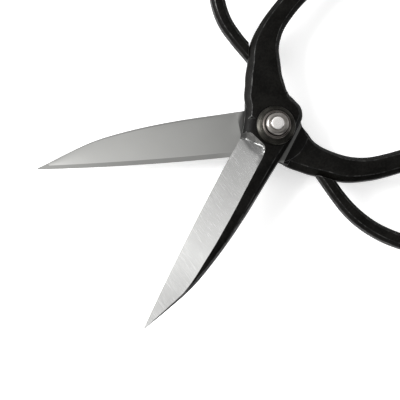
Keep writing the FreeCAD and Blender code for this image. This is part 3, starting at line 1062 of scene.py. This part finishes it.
# --- studio -------------------------------------------------------------------------------------------
@dataclass
class Softbox:
    """One soft light, aimed at the pivot."""

    name: str
    azimuth: float
    elevation: float
    distance: float
    size: tuple[float, float]
    power: float

    def build(self) -> None:
        """Hang the light."""
        data = bpy.data.lights.new(self.name, "AREA")
        data.shape = "RECTANGLE"
        data.size, data.size_y = self.size
        data.energy = self.power
        light = bpy.data.objects.new(self.name, data)
        azimuth, elevation = math.radians(self.azimuth), math.radians(self.elevation)
        way = Vector((math.cos(azimuth) * math.cos(elevation), math.sin(azimuth) * math.cos(elevation),
                      math.sin(elevation)))
        light.location = PIVOT_POINT + way * self.distance
        light.rotation_euler = way.to_track_quat("Z", "Y").to_euler()
        bpy.context.scene.collection.objects.link(light)


@dataclass
class Studio:
    """Floor, soft light and camera."""

    floor_size: float = 6.0
    sky: float = 0.72
    window: float = 0.62
    window_azimuth: float = -70.0
    roll: float = -145.77
    tilt_x: float = -0.150
    tilt_y: float = 0.113
    camera_offset: tuple = (-22.533, -21.948, 450.0)
    lens: float = 132.27
    sensor: float = 36.0
    lights: tuple = (Softbox("left_box", -45.0, 34.0, 0.9, (0.5, 0.4), 11.0),
                     Softbox("right_box", 150.0, 30.0, 1.1, (0.5, 0.4), 1.0))

    def floor(self) -> None:
        """Lay the floor that the shears rest on."""
        bm = bmesh.new()
        bmesh.ops.create_grid(bm, x_segments=1, y_segments=1, size=self.floor_size / 2)
        sheet = new_object("floor", bm)
        sheet.data.materials.append(PaleFloor().material())

    def world(self) -> None:
        """Light everything softly from all round, more from the window's side."""
        world = bpy.data.worlds.new("studio")
        world.use_nodes = True
        tree = world.node_tree
        background = tree.nodes["Background"]
        background.inputs["Color"].default_value = (1.0, 1.0, 1.0, 1.0)
        way = tree.nodes.new("ShaderNodeVectorMath")
        way.operation = "DOT_PRODUCT"
        azimuth = math.radians(self.window_azimuth)
        way.inputs[1].default_value = (math.cos(azimuth), math.sin(azimuth), 0.0)
        tree.links.new(tree.nodes.new("ShaderNodeTexCoord").outputs["Generated"], way.inputs[0])
        level = tree.nodes.new("ShaderNodeMapRange")
        level.inputs["From Min"].default_value, level.inputs["From Max"].default_value = -1.0, 1.0
        level.inputs["To Min"].default_value = self.sky - self.window
        level.inputs["To Max"].default_value = self.sky + self.window
        tree.links.new(way.outputs["Value"], level.inputs["Value"])
        seen = tree.nodes.new("ShaderNodeMath")
        seen.operation = "MAXIMUM"
        tree.links.new(tree.nodes.new("ShaderNodeLightPath").outputs["Is Camera Ray"], seen.inputs[0])
        tree.links.new(level.outputs["Result"], seen.inputs[1])
        tree.links.new(seen.outputs[0], background.inputs["Strength"])
        bpy.context.scene.world = world

    def camera(self) -> None:
        """Stand the camera above the pivot, tilted a little, with the tips towards the lower left."""
        turn = (Matrix.Rotation(self.tilt_x, 4, "X") @ Matrix.Rotation(self.tilt_y, 4, "Y")
                @ Matrix.Rotation(math.radians(self.roll), 4, "Z"))
        back = turn.transposed()
        data = bpy.data.cameras.new("camera")
        data.lens, data.sensor_width = self.lens, self.sensor
        data.clip_start, data.clip_end = 0.01, 20.0
        camera = bpy.data.objects.new("camera", data)
        place = PIVOT_POINT + (back @ Vector(self.camera_offset)) * MM
        camera.matrix_world = Matrix.Translation(place) @ back
        bpy.context.scene.collection.objects.link(camera)
        bpy.context.scene.camera = camera

    def build(self) -> None:
        """Set up the whole studio."""
        bpy.context.scene.view_settings.view_transform = "Standard"
        self.floor()
        self.world()
        for light in self.lights:
            light.build()
        self.camera()


def forged_finishes() -> dict[Surface, Material]:
    """The material of each surface of a forged half."""
    finishes = {
        Surface.FORGED: ForgedBlack(),
        # the mating face keeps the default levels, which paint one view's light, lighter towards the tip
        Surface.MATING: GroundSteel("ground_mating_face", roughness=0.36),
        # the land's levels paint one view's light and shade, darkest right next to the pivot
        Surface.EDGE_LAND: GroundSteel(
            "honed_edge_land", roughness=0.34,
            painted_light_and_stain=((0.0106, 0.10), (0.0118, 0.36), (0.020, 0.29), (0.043, 0.325), (0.070, 0.45))),
        # the bevel's levels paint one view's light: rising from the pivot to a painted highlight about 45 mm
        # out, then falling towards the tip
        Surface.BEVEL: GroundSteel(
            "ground_bevel", roughness=0.24, tint=(1.0, 1.0, 0.985), clouds=0.03, depth=0.0000018,
            painted_light_and_stain=((0.0100, 0.09), (0.0108, 0.20), (0.0125, 0.235), (0.018, 0.277), (0.0245, 0.318),
                         (0.0325, 0.42), (0.040, 0.50), (0.0453, 0.58), (0.0508, 0.555), (0.056, 0.49),
                         (0.0616, 0.41), (0.074, 0.42))),
        Surface.WORN: WornEdge(),
        Surface.SCORCHED: WornEdge("scorched_plunge", bare=(0.27, 0.265, 0.255), scale=(0.08, 0.08, 0.077))}
    return {surface: finish.material() for surface, finish in finishes.items()}


def main() -> None:
    """Build the shears and the studio."""
    logging.basicConfig(level=logging.INFO, format="%(name)s: %(message)s")
    forged = forged_finishes()
    ForgedHalf(Layer.LOWER).build(forged)
    upper_ear = ((-11.0, 3.2), (-10.7, 0.9), (-10.2, -1.3), (-9.8, -2.9), (-8.9, -4.25), (-7.1, -5.5))
    ForgedHalf(Layer.UPPER, Blade(ear=upper_ear),
               Handle(neck_growth=1.9, tail_shift=3.0, tail_gap=-0.35)).build(forged)
    turned = TurnedSteel("turned_steel").material()
    collar = TurnedSteel("turned_collar", bright=(0.16, 0.145, 0.135), brown=(0.035, 0.030, 0.026)).material()
    filed = TurnedSteel("filed_end", bright=(0.96, 0.94, 0.92), brown=(0.80, 0.77, 0.75), roughness=0.26,
                        grime=0.7).material()
    crown = TurnedSteel("turned_crown", bright=(0.30, 0.285, 0.27), brown=(0.11, 0.10, 0.09)).material()
    PivotStack().build({Turning.BASE: turned, Turning.STEP: collar, Turning.DOME: crown}, filed)
    Studio().build()


if __name__ == "__main__":
    main()
